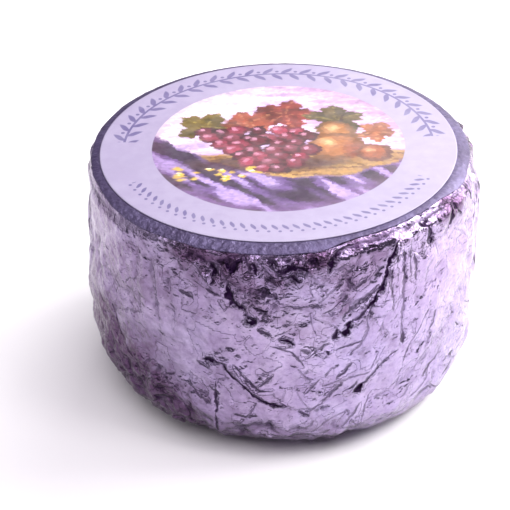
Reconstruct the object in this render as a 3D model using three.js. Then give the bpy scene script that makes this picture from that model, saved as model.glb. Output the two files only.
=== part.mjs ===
// A whole wheel of blue cheese, wrapped in creased foil, with a round label on its top face.
// Millimetres, +Z up. The origin is the middle of the flat base, on the surface that the wheel
// stands on. Angles round the wheel are in degrees from the front (-Y) towards +X.
//
// The foil sheet is drawn up round the wheel from below. Its spare corners are folded flat
// against the side as four ears: each is a smooth flap whose lower edge is a long smile-shaped
// fold, round a crumpled wedge that opens upwards to the shoulder.
import * as THREE from "three";

// Driving dimensions of the wheel.
const wheelRadius = 88.2;
const wrapHeight = 110;
const shoulderRadius = 8;
const footRadius = 25; // mean rounding of the lower edge
const footSwing = 4.5; // how much larger that rounding is on the left than on the right
const sideBulge = 1.0; // extra radius half way up the side
const unevenness = 0.7; // slow wander of the radius, as of any soft cheese

// The label: a dark border disc whose edge turns down over the shoulder, under a pale face.
const labelFaceRadius = 80;
const labelFaceThickness = 0.45;
const borderThickness = 0.4;
const borderClearance = 0.1;
const borderTurnDown = 48; // degrees round the shoulder that the border's edge reaches

// The ears, with their places in millimetres along the side (u) and up it (v).
const ears = [
  { at: 9, lean: 1, size: 1.0 },
  { at: 101, lean: -1, size: 0.94 },
  { at: 187, lean: 1, size: 0.9 },
  { at: -78, lean: -1, size: 0.86 },
];
const smileBottom = 31; // height of the lowest point of an ear's outer fold
const smileRise = 76;
const smileLeft = 66; // reach of the outer fold to the left and right at its top
const smileRight = 44.5;
const wedgeBottom = 59; // height of the crumpled wedge's point
const wedgeRise = 46;
const wedgeLeft = 52; // half widths of the wedge at its top
const wedgeRight = 38;
const flapStep = 1.1; // height of the flap's folded edge
const foldWidth = 3.6; // over which the edge drops
const pleatHeight = 0.6; // of the narrow pleats that run beside the folds
const pleatOffset = 9;
const pleatWidth = 3;
const wedgeFacet = 14; // size of the wedge's crumple facets
const wedgeDepth = 1.5;
const sideFacet = 26; // size of the slack facets on the rest of the side
const sideDepth = 0.8;
const footFacet = 17; // size of the puckers where the foil turns under the lower edge
const footDepth = 1.3;
const reliefLimit = 1.7; // all of the relief together stays within this

// How finely the surfaces are divided.
const stepsAround = 160;
const footSteps = 6;
const sideSteps = 18;
const shoulderSteps = 4;
const labelStepsAround = 80;

const degrees = Math.PI / 180;
const perDegree = wheelRadius * degrees;
const clamp01 = (x) => Math.min(1, Math.max(0, x));
const mix = (a, b, t) => a + (b - a) * t;

function smoothStep(x, low, high) {
  const t = clamp01((x - low) / (high - low));
  return t * t * (3 - 2 * t);
}

function ridge(x, width) {
  return Math.exp(-(x * x) / (width * width));
}

// A repeatable random number from 0 to 1 for one cell of a grid.
function scatter(i, j, seed) {
  const s = Math.sin(i * 127.1 + j * 311.7 + seed * 74.7) * 43758.5453;
  return s - Math.floor(s);
}

// The squared distance, in cells, to the nearest of a jittered grid's points. Columns repeat
// after `columns` cells, so that the pattern closes round the wheel.
function nearestSquared(x, y, columns, seed) {
  const column = Math.floor(x);
  const row = Math.floor(y);
  let least = Infinity;
  for (let i = column - 2; i <= column + 2; i++) {
    for (let j = row - 2; j <= row + 2; j++) {
      const wrapped = ((i % columns) + columns) % columns;
      const px = i + scatter(wrapped, j, seed);
      const py = j + scatter(wrapped, j, seed + 1);
      least = Math.min(least, (px - x) ** 2 + (py - y) ** 2);
    }
  }
  return least;
}

// Crumpled foil: the difference of two such fields is flat facets that meet in sharp creases,
// some ridges and some valleys. It lies between about -1 and 1.
function facets(turn, height, size, seed) {
  const columns = Math.round((360 * perDegree) / size);
  const x = (((turn + 360) % 360) / 360) * columns;
  const y = height / size;
  return nearestSquared(x, y, columns, seed) - nearestSquared(x, y, columns, seed + 7);
}

// The rise of the outer fold, v = f(u), and the signed distance of a point above it.
function aboveSmile(u, v) {
  const reach = u < 0 ? smileLeft : smileRight;
  const power = u < 0 ? 2.6 : 3.0;
  const share = Math.abs(u) / reach;
  const fold = smileBottom + smileRise * share ** power;
  const slope = (smileRise * power * share ** (power - 1)) / reach;
  return (v - fold) / Math.hypot(1, slope);
}

// The signed distance of a point inside the crumpled wedge, negative outside it.
function insideWedge(u, v) {
  const slope = wedgeRise / (u < 0 ? wedgeLeft : wedgeRight);
  return (v - wedgeBottom - slope * Math.abs(u)) / Math.hypot(1, slope);
}

// One ear's relief at a place on the side.
function earRelief(ear, turn, height) {
  const away = ((turn - ear.at + 540) % 360) - 180;
  const u = (away * perDegree * ear.lean) / ear.size;
  const v = wrapHeight - (wrapHeight - height) / ear.size;
  const reach = 1 - smoothStep(Math.abs(u), 62, 72);
  if (reach === 0) return 0;
  const smile = aboveSmile(u, v);
  const wedge = insideWedge(u, v);
  const leftFade = 1 - smoothStep(v, 52, 66) * smoothStep(-u, 20, 40);
  const onFlap = smoothStep(smile, 0, foldWidth) * (1 - smoothStep(smile, 14, 40));
  const inWedge = smoothStep(wedge, 0, foldWidth);
  const pleats = ridge(smile - pleatOffset, pleatWidth) * smoothStep(Math.abs(u), 6, 18);
  const lip = ridge(wedge + foldWidth, foldWidth) * smoothStep(v, wedgeBottom - 4, wedgeBottom + 8);
  const crumple = wedgeDepth * facets(turn, height, wedgeFacet, 3) - 0.6;
  const flap = (flapStep * onFlap + pleatHeight * pleats) * leftFade + 0.8 * lip;
  return reach * mix(flap, crumple, inWedge);
}

// The whole side's relief, in millimetres outwards.
function sideRelief(turn, height) {
  const a = turn * degrees;
  const wander = unevenness * (0.6 * Math.sin(2 * a + 0.6) + 0.4 * Math.sin(3 * a - 1.1));
  const slack = sideDepth * facets(turn, height, sideFacet, 11);
  const pucker = footDepth * facets(turn, height, footFacet, 23) * (1 - smoothStep(height, 22, 44));
  const folds = ears.reduce((sum, ear) => sum + earRelief(ear, turn, height), 0);
  return wander + reliefLimit * Math.tanh((slack + pucker + folds) / reliefLimit);
}

// The plain outline that the relief stands on: foot rounding, bulging side and shoulder, as
// rows of { r, z, nr, nz, relief }, from the edge of the flat base to the edge of the flat top.
function outlineRows(turn) {
  const foot = footRadius - footSwing * Math.sin(turn * degrees);
  const rows = [];
  for (let i = 0; i <= footSteps; i++) {
    const a = (i / footSteps) * 90 * degrees;
    rows.push({
      r: wheelRadius - foot + foot * Math.sin(a),
      z: foot - foot * Math.cos(a),
      nr: Math.sin(a),
      nz: -Math.cos(a),
    });
  }
  const sideTop = wrapHeight - shoulderRadius;
  for (let i = 1; i < sideSteps; i++) {
    rows.push({ r: wheelRadius, z: mix(foot, sideTop, i / sideSteps), nr: 1, nz: 0 });
  }
  for (let i = 0; i <= shoulderSteps; i++) {
    const a = (i / shoulderSteps) * 90 * degrees;
    rows.push({
      r: wheelRadius - shoulderRadius + shoulderRadius * Math.cos(a),
      z: sideTop + shoulderRadius * Math.sin(a),
      nr: Math.cos(a),
      nz: Math.sin(a),
    });
  }
  const borderEdge = sideTop + shoulderRadius * Math.sin(borderTurnDown * degrees);
  for (const row of rows) {
    const share = clamp01(row.z / wrapHeight);
    const held = smoothStep(row.z, 0.5, 9) * (1 - smoothStep(row.z, borderEdge - 5, borderEdge - 1.5));
    row.relief = held * (sideBulge * 4 * share * (1 - share) + sideRelief(turn, row.z));
  }
  return rows;
}

// The wrapped wheel as one closed skin: rings of vertices from base to top, and a pole at
// each end.
function foilWrapGeometry() {
  const columns = [];
  for (let i = 0; i < stepsAround; i++) columns.push(outlineRows((i / stepsAround) * 360));
  const ringCount = columns[0].length;
  const points = [0, 0, 0];
  for (let ring = 0; ring < ringCount; ring++) {
    for (let i = 0; i < stepsAround; i++) {
      const row = columns[i][ring];
      const a = (i / stepsAround) * 2 * Math.PI;
      const r = row.r + row.nr * row.relief;
      points.push(r * Math.sin(a), -r * Math.cos(a), row.z + row.nz * row.relief);
    }
  }
  points.push(0, 0, wrapHeight);
  const top = points.length / 3 - 1;
  const at = (ring, i) => 1 + ring * stepsAround + (i % stepsAround);
  const faces = [];
  for (let i = 0; i < stepsAround; i++) {
    faces.push(0, at(0, i + 1), at(0, i));
    for (let ring = 0; ring < ringCount - 1; ring++) {
      faces.push(at(ring, i), at(ring, i + 1), at(ring + 1, i + 1));
      faces.push(at(ring, i), at(ring + 1, i + 1), at(ring + 1, i));
    }
    faces.push(at(ringCount - 1, i), at(ringCount - 1, i + 1), top);
  }
  const geometry = new THREE.BufferGeometry();
  geometry.setAttribute("position", new THREE.Float32BufferAttribute(points, 3));
  geometry.setIndex(faces);
  geometry.computeVertexNormals();
  return geometry;
}

// A body of revolution about Z from [radius, height] points, which run up its outside.
function turned(profile) {
  const points = profile.map(([r, z]) => new THREE.Vector2(r, z));
  return new THREE.LatheGeometry(points, labelStepsAround).rotateX(Math.PI / 2);
}

// Points of the shoulder's arc at a given distance outside the foil, from the border's edge up,
// with heights measured from the top of the wheel.
function shoulderArc(outside) {
  const arc = [];
  for (let i = 0; i <= shoulderSteps; i++) {
    const a = mix(borderTurnDown, 90, i / shoulderSteps) * degrees;
    const radius = shoulderRadius + outside;
    const across = wheelRadius - shoulderRadius + radius * Math.cos(a);
    arc.push([across, radius * Math.sin(a) - shoulderRadius]);
  }
  return arc;
}

function labelBorderGeometry() {
  const under = shoulderArc(borderClearance);
  const over = shoulderArc(borderClearance + borderThickness);
  return turned([
    [0, borderClearance],
    ...under.reverse(),
    ...over,
    [0, borderClearance + borderThickness],
  ]);
}

function labelFaceGeometry() {
  const disc = new THREE.CylinderGeometry(
    labelFaceRadius,
    labelFaceRadius,
    labelFaceThickness,
    labelStepsAround,
  );
  return disc.rotateX(Math.PI / 2);
}

function part(name, geometry, look) {
  const mesh = new THREE.Mesh(geometry, new THREE.MeshStandardMaterial(look));
  mesh.name = name;
  return mesh;
}

const foil = { color: 0xb6a5cc, roughness: 0.32, metalness: 1 };
const borderPrint = { color: 0x453d63, roughness: 0.38, metalness: 0.6 };
const facePaper = { color: 0xe2d8f5, roughness: 0.45, metalness: 0 };

const foilWrap = part("foil_wrap", foilWrapGeometry(), foil);
const labelBorder = part("label_border", labelBorderGeometry(), borderPrint);
const labelFace = part("label_face", labelFaceGeometry(), facePaper);
labelFace.position.z = borderClearance + borderThickness + labelFaceThickness / 2;

const label = new THREE.Group();
label.position.z = wrapHeight;
label.add(labelBorder, labelFace);

const cheese = new THREE.Group();
cheese.add(foilWrap, label);

export default cheese;
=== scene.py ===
"""A whole wheel of blue cheese in creased foil, with a round label over its top face.

Lengths in the sums below are millimetres and angles are degrees from the front (-Y) towards +X,
as a cheesemaker would walk round the wheel. Meshes are written in metres.
"""
import math

import bpy
import numpy as np
from bpy.props import FloatProperty, FloatVectorProperty, IntProperty, PointerProperty
from mathutils import Matrix, Vector
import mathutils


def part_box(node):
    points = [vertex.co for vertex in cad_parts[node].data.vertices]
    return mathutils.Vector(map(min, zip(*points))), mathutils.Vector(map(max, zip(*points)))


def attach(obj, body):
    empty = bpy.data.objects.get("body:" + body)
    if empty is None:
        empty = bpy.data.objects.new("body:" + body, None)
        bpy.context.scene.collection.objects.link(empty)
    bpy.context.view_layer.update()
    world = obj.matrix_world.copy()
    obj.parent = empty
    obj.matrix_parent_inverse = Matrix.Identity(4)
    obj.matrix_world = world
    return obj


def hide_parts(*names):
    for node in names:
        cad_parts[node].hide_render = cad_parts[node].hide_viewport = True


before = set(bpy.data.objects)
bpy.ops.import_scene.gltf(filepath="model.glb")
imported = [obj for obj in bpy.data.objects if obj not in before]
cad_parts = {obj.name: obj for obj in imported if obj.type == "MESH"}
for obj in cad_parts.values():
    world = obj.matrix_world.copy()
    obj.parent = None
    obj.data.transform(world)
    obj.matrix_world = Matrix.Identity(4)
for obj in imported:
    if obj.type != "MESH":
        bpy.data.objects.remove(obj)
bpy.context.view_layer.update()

bl_info = {
    "name": "Foil-wrapped blue cheese wheel",
    "version": (1, 0, 0),
    "blender": (4, 5, 0),
    "location": "3D View > Sidebar > Cheese",
    "description": "Builds a foil-wrapped wheel of blue cheese with its round label",
    "category": "Add Mesh",
}

MM = 0.001
FULL_TURN = 360.0

# How finely the foil is divided, from the base's middle to the top.
BASE_ROWS, FOOT_ROWS, SIDE_ROWS, SHOULDER_ROWS = 6, 31, 95, 12

# Millimetres from the axis where the border starts, under the face, and its paper's thickness.
BORDER_START, BORDER_PAPER = 74.0, 0.2

# Colours where handling has rubbed the foil, the border's ink and the face's paper.
RUBBED_FOIL, SCUFFED_INK, RUBBED_PAPER = (0.62, 0.56, 0.70), (0.27, 0.23, 0.44), (0.88, 0.85, 0.93)

# The ring's printed rows: two rows of leaves, their stem and berries above, and lozenges and dots
# below. Lengths are metres. Upwards is 1 for the upper half of the ring and -1 for the lower.
MARK_SIZES = ("Radius", "Pitch", "Phase", "Width", "Height", "Power", "Lean", "Span", "Upwards")
SPRIG, SMALL = (math.radians(86), 1.0), (math.radians(64), -1.0)
LEAF_PITCH, DOT_PITCH = math.radians(7.2), math.radians(3.7)
RING_MARKS = (
    (0.0727, LEAF_PITCH, 0.5, 0.0021, 0.0037, 1.4, -0.75, *SPRIG),
    (0.0668, LEAF_PITCH, 0.0, 0.0021, 0.0037, 1.4, 0.75, *SPRIG),
    (0.0698, LEAF_PITCH, 0.0, 0.0056, 0.0006, 6.0, 0.0, *SPRIG),
    (0.0722, LEAF_PITCH, 0.0, 0.0010, 0.0010, 2.0, 0.0, *SPRIG),
    (0.0690, DOT_PITCH, 0.5, 0.0012, 0.0022, 1.5, -0.6, *SMALL),
    (0.0722, DOT_PITCH, 0.0, 0.0008, 0.0008, 2.0, 0.0, *SMALL),
)


# Sizes and colours that a user would change


def length_of(name, default, description):
    return FloatProperty(name=name, default=default, description=description, unit="LENGTH")


def angle_of(name, degrees, description):
    turn = math.radians(degrees)
    return FloatProperty(name=name, default=turn, description=description, subtype="ANGLE")


def colour_of(name, default, description):
    return FloatVectorProperty(
        name=name, default=default, description=description, subtype="COLOR", size=3
    )


def strength_of(name, description):
    return FloatProperty(name=name, default=1.0, description=description, min=0.0, max=3.0)


class WheelSizes(bpy.types.PropertyGroup):
    """The plain outline of the wheel, before any crease."""

    radius: length_of("Radius", 0.0882, "Radius of the wheel's side")
    height: length_of(
        "Height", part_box("foil_wrap")[1][2], "From the flat base to the flat top, under the label"
    )
    shoulder: length_of("Shoulder", 0.008, "Rounding of the top edge")
    foot: length_of("Foot", 0.025, "Mean rounding of the lower edge")
    foot_swing: length_of(
        "Foot swing", 0.0045, "How much larger the foot's rounding is on the left than the mean"
    )
    bulge: length_of("Bulge", 0.001, "Extra radius half way up")


class FoilSettings(bpy.types.PropertyGroup):
    """How the foil is creased, and its colours, with the painted shade of its crumples and creases.
    """

    crumple: strength_of("Crumple", "Strength of the fine crumpling")
    folds: strength_of("Folds", "Strength of the ears' folds")
    columns: IntProperty(
        name="Columns", description="Divisions round the wheel", default=680, min=64
    )
    colour: colour_of("Foil", (0.352, 0.287, 0.465), "Lacquer tint")
    # Painted shade: the colour laid on the foil where the painted shade mask is high.
    painted_shade_colour: colour_of(
        "Crumples", (0.112, 0.063, 0.128), "Foil colour where close crumples trap the light"
    )
    # Painted shade in the depth of the creases and hollows.
    crease_shadow_colour: colour_of(
        "Creases", (0.017, 0.006, 0.028), "Colour in the depth of the creases"
    )


class LabelSettings(bpy.types.PropertyGroup):
    """The label's sizes and inks."""

    face_radius: length_of("Face radius", 0.08, "Radius of the pale face")
    picture_radius: length_of("Picture radius", 0.057, "Radius of the round print")
    turn_down: angle_of(
        "Turn-down", 42, "How far round the shoulder the dark border reaches at its widest"
    )
    paper: colour_of("Paper", (0.322, 0.28, 0.415), "Colour of the face")
    ink: colour_of("Ink", (0.075, 0.055, 0.19), "Colour of the ring's marks")
    border: colour_of("Border", (0.07, 0.05, 0.118), "Colour of the dark border")


class StudioSettings(bpy.types.PropertyGroup):
    """Camera and light."""

    distance: length_of("Distance", 0.712, "Camera to the middle of the wheel")
    elevation: angle_of("Elevation", 33.38, "Camera above the horizon")
    roll: angle_of("Roll", 1.18, "Turn of the picture")
    lens: FloatProperty(name="Lens", description="Focal length in millimetres", default=107.0)


# Numbers: noise, crumple facets and crease lines on whole arrays


def clamp01(x):
    return np.clip(x, 0.0, 1.0)


def smooth_step(x, low, high):
    """0 below low, 1 above high, and 3t2 - 2t3 between."""
    t = clamp01((x - low) / (high - low))
    return t * t * (3 - 2 * t)


def bump(x, width):
    """A bell of the given half width: e to the -(x/width)2."""
    return np.exp(-((x / width) ** 2))


def plateau(x, start, full, fades, ends):
    """0 up to start, 1 from full until fades, and 0 past ends."""
    return smooth_step(x, start, full) * (1 - smooth_step(x, fades, ends))


def scatter(i, j, seed):
    """A repeatable random number from 0 to 1 for one cell of a grid."""
    s = np.sin(i * 127.1 + j * 311.7 + seed * 74.7) * 43758.5453
    return s - np.floor(s)


def nearest_squared(x, y, columns, seed):
    """Squared distance, in cells, to the nearest point of a jittered grid that repeats after
    the given number of columns."""
    column, row = np.floor(x), np.floor(y)
    least = np.full(np.shape(x), np.inf)
    for step in range(25):
        i, j = column + step // 5 - 2, row + step % 5 - 2
        wrapped = np.mod(i, columns)
        px = i + scatter(wrapped, j, seed)
        py = j + scatter(wrapped, j, seed + 1)
        least = np.minimum(least, (px - x) ** 2 + (py - y) ** 2)
    return least


def facets(turn, height, size, seed, stretch=1.0):
    """Crumpled foil: one nearest-squared field less another is flat facets that meet in sharp
    ridges and valleys, between about -1 and 1. Stretch makes them taller than they are wide."""
    columns = max(3, round(FULL_TURN * per_degree() / size))
    x = np.mod(turn, FULL_TURN) / FULL_TURN * columns
    y = height / (size * stretch)
    return nearest_squared(x, y, columns, seed) - nearest_squared(x, y, columns, seed + 7)


def crumpled(turn, height, size, slope, seed, stretch=1.0):
    """Facets of a given size whose sides lean by about the given degrees."""
    return np.tan(np.radians(slope)) * size / 1.5 * facets(turn, height, size, seed, stretch)


def soft_noise(turn, height, size, seed):
    """Smooth noise from 0 to 1: random lattice values, eased between, closed round the wheel."""
    columns = max(3, round(FULL_TURN * per_degree() / size))
    x = np.mod(turn, FULL_TURN) / FULL_TURN * columns
    y = height / size
    i, j = np.floor(x), np.floor(y)
    a, b = x - i, y - j
    a, b = a * a * (3 - 2 * a), b * b * (3 - 2 * b)
    near, far = np.mod(i, columns), np.mod(i + 1, columns)
    low = scatter(near, j, seed) * (1 - a) + scatter(far, j, seed) * a
    high = scatter(near, j + 1, seed) * (1 - a) + scatter(far, j + 1, seed) * a
    return low * (1 - b) + high * b


def beside_stroke(points, u, v):
    """Signed distance to a line of points, positive on its left as it is drawn, and the share
    of the way along it. Each segment's nearest point is found and the closest one kept."""
    least = np.full(u.shape, np.inf)
    side = np.ones(u.shape)
    share = np.zeros(u.shape)
    last = len(points) - 1
    for k in range(last):
        (ax, ay), (bx, by) = points[k], points[k + 1]
        dx, dy = bx - ax, by - ay
        t = clamp01(((u - ax) * dx + (v - ay) * dy) / (dx * dx + dy * dy))
        away = np.hypot(u - ax - t * dx, v - ay - t * dy)
        closer = away < least
        least = np.where(closer, away, least)
        side = np.where(closer, np.where(dx * (v - ay) - dy * (u - ax) >= 0, 1.0, -1.0), side)
        share = np.where(closer, (k + t) / last, share)
    return least * side, share


# The foil's relief, from the same values as the solid


def wheel():
    return bpy.context.scene.cheese_wheel


def foil():
    return bpy.context.scene.cheese_foil


def label():
    return bpy.context.scene.cheese_label


def wheel_radius():
    return wheel().radius / MM


def wrap_height():
    return wheel().height / MM


def foot_radius(turn):
    """Rounding of the lower edge, larger on the left than on the right."""
    return (wheel().foot - wheel().foot_swing * np.sin(np.radians(turn))) / MM


def per_degree():
    return wheel_radius() * math.pi / 180


def from_turn(turn, at):
    """Degrees from one direction to another, -180 to 180."""
    return np.mod(turn - at + 540, FULL_TURN) - 180


def between(turn, first, last, ease):
    """1 from one direction round to another, 0 outside, eased over the given degrees."""
    middle, half = (first + last) / 2, (last - first) / 2
    return 1 - smooth_step(np.abs(from_turn(turn, middle)), half, half + ease)


def border_reach(turn):
    """Degrees round the shoulder that the dark border reaches: least in front on the right."""
    narrow = 0.55 * between(turn, 24, 52, 16) + 0.34 * between(turn, -112, -66, 18)
    return math.degrees(label().turn_down) * (1 - narrow)


EARS = (
    {"at": 9, "lean": 1, "size": 1.0},
    {"at": 101, "lean": -1, "size": 0.94},
    {"at": 187, "lean": 1, "size": 0.9},
    {"at": -78, "lean": -1, "size": 0.86, "until": -82},
)
SMILE_BOTTOM, SMILE_RISE, SMILE_LEFT, SMILE_RIGHT = 31, 76, 66, 44.5
WEDGE_BOTTOM, WEDGE_RISE, WEDGE_LEFT, WEDGE_RIGHT = 59, 46, 52, 38
RELIEF_LIMIT = 1.7  # the coarse relief's softly held limit
FOLD_WIDTH = 1.5
EAR_REACH = 85  # no crease of an ear is drawn further than this from its middle line
LOOSE_EDGE = 91  # where the foil's loose edge stands off
WHOLE_SHEET = np.s_[:, :]
SCATTERED_CREASES = 720
SHEET_BELOW_SIDE = 14.3  # how much longer the sheet is than it is high, from the foot's bend

# Fine crumpling: facet size, its slope in degrees where calm, the slope added where crushed, seed.
FINE_CRUMPLES = ((15, 8.0, 4.0, 101), (7, 5.5, 14.0, 131), (3.6, 3.0, 16.0, 151))

# Creases of one ear: points (across, up) in millimetres from its middle line and the base, then
# the height of the step beside the stroke (on its left, or on its right where negative), how
# dark the painted shade in its core is, its half width, and how broken it is, 0 whole to 1 dashes.
EAR_CREASES = (
    ([(37, 107.5), (34, 101), (31, 94.3), (29.4, 88), (27.4, 85)], 0.4, 1.0, 0.8, 0.15),
    ([(31, 91.5), (27.4, 85), (24.6, 81.4), (21, 76.6)], 0.6, 1.0, 1.25, 0.0),
    ([(23.5, 79), (18.5, 75), (14.5, 73)], 0.3, 0.8, 0.6, 0.25),
    ([(15.6, 74.8), (12.9, 70.3), (11, 66.8)], 0.5, 1.0, 1.1, 0.0),
    ([(9.8, 71.3), (7.7, 67.9), (6, 65.2)], 0.3, 0.95, 0.9, 0.0),
    ([(6, 65), (3, 62.6), (-1, 60)], 0.2, 0.5, 0.5, 0.3),
    ([(4.4, 60.8), (5.4, 57.8)], 0.2, 0.9, 0.9, 0.0),
    ([(4, 96.6), (6, 101.8), (7.2, 103.8), (9.4, 107), (11.5, 108.4), (15, 109.3)],
     0.4, 1.0, 1.3, 0.1),
    ([(8, 106.5), (13, 109), (18.8, 109.6), (27.7, 109.7), (35.4, 109.7), (43.9, 109.6),
      (54.4, 109.4), (64, 108.6), (72, 107.6)], 0.3, 1.0, 1.05, 0.0),
    ([(-30.5, 108.2), (-27.6, 105.8)], 0.3, 1.0, 1.2, 0.0),
    ([(-26.2, 106), (-24.8, 103), (-23.4, 99.4)], 0.4, 1.0, 1.2, 0.0),
    ([(-22.2, 108.2), (-18.9, 107.2), (-15.8, 108)], 0.3, 1.0, 1.2, 0.0),
    ([(-19.7, 106.6), (-15.3, 104.2)], 0.3, 1.0, 1.2, 0.0),
    ([(-14.1, 108.2), (-11.9, 106.2), (-9.2, 107.2)], 0.3, 1.0, 1.2, 0.0),
    ([(-8, 108.4), (-6, 105.2)], 0.3, 1.0, 1.3, 0.0),
    ([(-3, 106.5), (-0.2, 103.4)], 0.3, 1.0, 1.3, 0.0),
    ([(-2, 108), (1.9, 105)], 0.3, 1.0, 1.2, 0.0),
    ([(-17.8, 101.6), (-13.1, 101.1), (-9.4, 103), (-6.2, 102.6), (-1, 100.2)],
     0.6, 1.0, 1.6, 0.05),
    ([(-14.2, 96.7), (-9.5, 97), (-4.9, 95.5)], 0.3, 1.0, 1.0, 0.2),
    ([(-23, 93.2), (-19.4, 89.3), (-15.6, 87.4)], 0.3, 0.8, 1.7, 0.35),
    ([(-32.2, 84.5), (-28.8, 82.1)], 0.3, 1.0, 1.3, 0.0),
    ([(-30.6, 79.1), (-27.4, 77.9), (-24.2, 75.8)], 0.6, 1.0, 1.8, 0.0),
    ([(-25, 73.2), (-22.2, 71.4), (-17.8, 69.2)], 0.3, 0.8, 0.7, 0.2),
    ([(-16.4, 68.7), (-12, 67), (-8.4, 65.1)], 0.3, 1.0, 0.8, 0.0),
    ([(-7, 63.5), (-1.3, 60.9)], 0.2, 0.6, 0.6, 0.2),
    ([(-37.5, 96), (-35.9, 91.4), (-33.6, 84.6), (-30.6, 84)], 0.45, 1.0, 1.5, 0.2),
    ([(-37.8, 107), (-30.4, 107.6), (-34, 100.5), (-38, 106)], 0.4, 1.0, 0.9, 0.15),
    ([(-45, 103), (-42, 99), (-44, 93)], 0.4, 1.0, 1.2, 0.3),
    ([(18.4, 95.8), (14.5, 94.8), (14.2, 92.4), (16.3, 88.9), (19.4, 86.3)], 0.4, 0.65, 0.9, 0.3),
    ([(37.3, 101), (34.5, 94.8), (33, 88)], 0.4, 0.9, 1.2, 0.45),
    ([(39.3, 103.6), (40.8, 93.1), (42.2, 82)], 0.45, 0.85, 0.9, 0.35),
    ([(45, 99), (46.4, 90.6), (48, 81)], -0.4, 0.7, 0.8, 0.4),
    ([(49.6, 108.6), (53, 107.2), (56.4, 108)], 0.4, 1.0, 1.0, 0.0),
    ([(54.5, 107), (55.6, 102.4), (54.7, 95.8)], 0.4, 0.95, 1.0, 0.15),
    ([(73, 108.4), (70.8, 104), (67.1, 97.4)], -0.4, 0.95, 1.0, 0.15),
    ([(44.6, 106), (43, 94), (40.6, 75.7), (39.6, 64), (39.6, 53.5)], 0.45, 0.45, 0.55, 0.5),
    ([(39.8, 62), (40, 58), (39.2, 53.5)], 0.3, 0.8, 0.9, 0.2),
    ([(39, 53), (29.1, 47.2), (20.2, 38.5), (11, 33.8)], 0.35, 0.65, 0.5, 0.5),
    ([(21.8, 39.6), (18.6, 37.6), (15.8, 35.8)], 0.5, 1.0, 1.2, 0.0),
    ([(31.7, 104), (33, 88), (34.6, 70)], -0.5, 0.6, 0.6, 0.5),
    ([(-49.5, 51.3), (-44, 53.6), (-40.2, 53.9), (-33.6, 44.9), (-26.8, 38.7), (-20.5, 34.1),
      (-12, 32.6)], 0.65, 1.0, 0.8, 0.12),
    ([(-49, 51.8), (-44.5, 53.8), (-40.4, 53.4)], 0.5, 1.0, 1.2, 0.1),
    ([(-20.8, 34.5), (-17, 32.6), (-12, 32.4)], 0.5, 1.0, 1.2, 0.1),
    ([(-40, 58.8), (-35.4, 53.8), (-30.5, 48), (-24.6, 42.1), (-17, 41)], 0.35, 0.7, 0.6, 0.5),
    ([(-8.5, 29.4), (-5.5, 27.4), (-2.8, 26.2)], 0.3, 0.8, 0.8, 0.1),
    ([(1.5, 28.6), (4, 29), (6.4, 30.3)], 0.3, 0.75, 0.8, 0.1),
    ([(-43.2, 46.4), (-43.6, 32.6), (-44.4, 20), (-44.6, 8)], -0.45, 0.9, 0.75, 0.3),
    ([(-8, 47), (-2, 46), (3, 47.5), (7, 52)], 0.25, 0.4, 0.5, 0.6),
    ([(-16, 84), (-4, 82.5), (5, 84)], 0.4, 0.6, 0.6, 0.5),
    ([(29, 56), (24, 47), (17, 41), (9, 37)], 0.3, 0.35, 0.5, 0.7),
    ([(30, 92), (25, 86), (18, 81), (10, 74)], 0.4, 0.6, 0.6, 0.55),
    ([(27, 99), (20, 90), (12, 84), (2, 79)], 0.4, 0.6, 0.6, 0.6),
    ([(44, 16.5), (56.2, 18.2), (67.8, 19.6), (80, 24)], 0.5, 0.9, 0.9, 0.6),
    ([(52, 27), (60, 33), (70, 41)], 0.4, 0.7, 0.7, 0.6),
    ([(-36, 26), (-28, 24), (-24, 27)], 0.3, 0.8, 0.8, 0.3),
    ([(7, 45), (12, 48), (16, 52)], 0.3, 0.6, 0.6, 0.2),
)

# Soft ridges beside an ear: points as above, height and half width.
EAR_RIDGES = (
    ([(-77, 57), (-78, 80), (-76, 101)], 0.8, 2.4),
    ([(-68, 54), (-67.5, 78), (-69, 102)], 0.9, 2.0),
    ([(-60, 60), (-59, 80), (-61, 100)], 0.7, 1.7),
    ([(-50, 66), (-49, 82), (-46, 96)], 0.5, 2.2),
    ([(42, 47), (50, 62), (52, 84), (51, 100)], 0.6, 2.4),
    ([(55, 40), (60, 60), (62, 90)], 0.5, 2.6),
)

# Slack bulges of the sheet: turn, height up the side, half width round in degrees, half height
# in millimetres, and how far they stand out.
BULGE_SCALE = 1.54  # millimetres to a degree, as their widths were measured
BULGES = (
    (-53, 90, 9, 19, 1.3),
    (-68, 58, 12, 12, 0.7),
    (52, 76, 10, 16, 0.7),
    (74, 60, 11, 20, 0.8),
    (36, 22, 13, 9, 0.8),
    (128, 70, 12, 18, 1.0),
    (160, 55, 12, 14, 0.8),
    (-110, 66, 11, 17, 1.0),
    (-143, 84, 10, 14, 0.8),
    (-168, 40, 14, 11, 0.7),
)


def above_smile(u, v):
    """Signed distance above an ear's outer fold, the curve v = bottom + rise (|u| / reach)^p."""
    reach = np.where(u < 0, SMILE_LEFT, SMILE_RIGHT)
    power = np.where(u < 0, 2.6, 3.0)
    share = np.abs(u) / reach
    fold = SMILE_BOTTOM + SMILE_RISE * share**power
    slope = SMILE_RISE * power * share ** (power - 1) / reach
    return (v - fold) / np.hypot(1, slope)


def inside_wedge(u, v):
    """Signed distance into an ear's crumpled wedge, whose two edges rise from its point."""
    slope = WEDGE_RISE / np.where(u < 0, WEDGE_LEFT, WEDGE_RIGHT)
    return (v - WEDGE_BOTTOM - slope * np.abs(u)) / np.hypot(1, slope)


def ear_place(ear, turn, height):
    """A place on the side in one ear's own millimetres, across and up."""
    u = from_turn(turn, ear["at"]) * per_degree() * ear["lean"] / ear["size"]
    v = wrap_height() - (wrap_height() - height) / ear["size"]
    return u, v


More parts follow.
